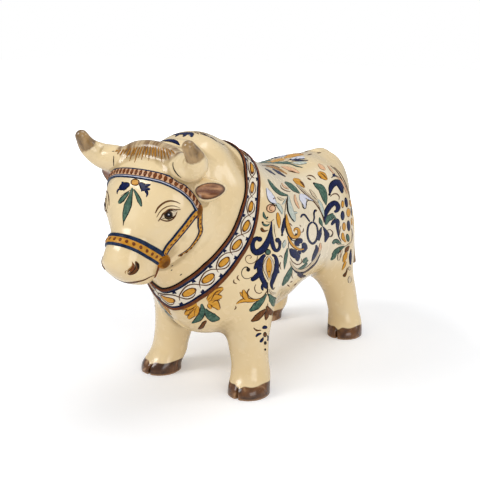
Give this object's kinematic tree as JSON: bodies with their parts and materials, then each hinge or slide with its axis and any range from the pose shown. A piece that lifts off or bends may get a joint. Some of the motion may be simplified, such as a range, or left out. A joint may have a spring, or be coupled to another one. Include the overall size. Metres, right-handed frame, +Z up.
{
  "type": "maiolica bull figurine",
  "caption": "Standing bull in tin-glazed earthenware with a modelled halter, collar and painted leaf and flower decoration, an ornament for a shelf or table.",
  "frame": {"origin": "on the surface that the hooves stand on, under the middle of the whole figure's box", "axes": "+Z up, -Y towards the bull's muzzle, +X towards the bull's own left side, where the tail hangs"},
  "size_m": [0.1134, 0.2864, 0.1956],
  "materials": {
    "cream_glaze": "glossy cream tin glaze with painted leaves and flowers",
    "hoof_glaze": "glossy mottled brown glaze",
    "hair_glaze": "glossy brown glaze brushed in strands",
    "blue_glaze": "glossy cobalt blue glaze",
    "brown_glaze": "glossy red-brown glaze",
    "ochre_glaze": "glossy ochre glaze",
    "pale_glaze": "glossy off-white glaze under the collar's painted ovals"
  },
  "bodies": {
    "root": {"body_left": "cream_glaze", "body_right": "cream_glaze", "head": "cream_glaze", "horn_left": "cream_glaze", "horn_right": "cream_glaze", "ear_left": "cream_glaze", "ear_right": "cream_glaze", "forelock": "hair_glaze", "leg_front_left": "cream_glaze", "leg_front_right": "cream_glaze", "hoof_front_left": "hoof_glaze", "hoof_front_right": "hoof_glaze", "leg_rear_left": "cream_glaze", "leg_rear_right": "cream_glaze", "hoof_rear_left": "hoof_glaze", "hoof_rear_right": "hoof_glaze", "tail": "cream_glaze", "browband": "brown_glaze", "noseband": "blue_glaze", "cheek_strap_left": "blue_glaze", "cheek_strap_right": "blue_glaze", "throat_strap_left": "blue_glaze", "throat_strap_right": "blue_glaze", "chin_strap_left": "blue_glaze", "chin_strap_right": "blue_glaze", "upper_stud_left": "ochre_glaze", "upper_stud_right": "ochre_glaze", "lower_stud_left": "ochre_glaze", "lower_stud_right": "ochre_glaze", "collar_front_cord": "brown_glaze", "collar_rear_cord": "brown_glaze", "collar_band": "pale_glaze"}
  },
  "joints": []
}
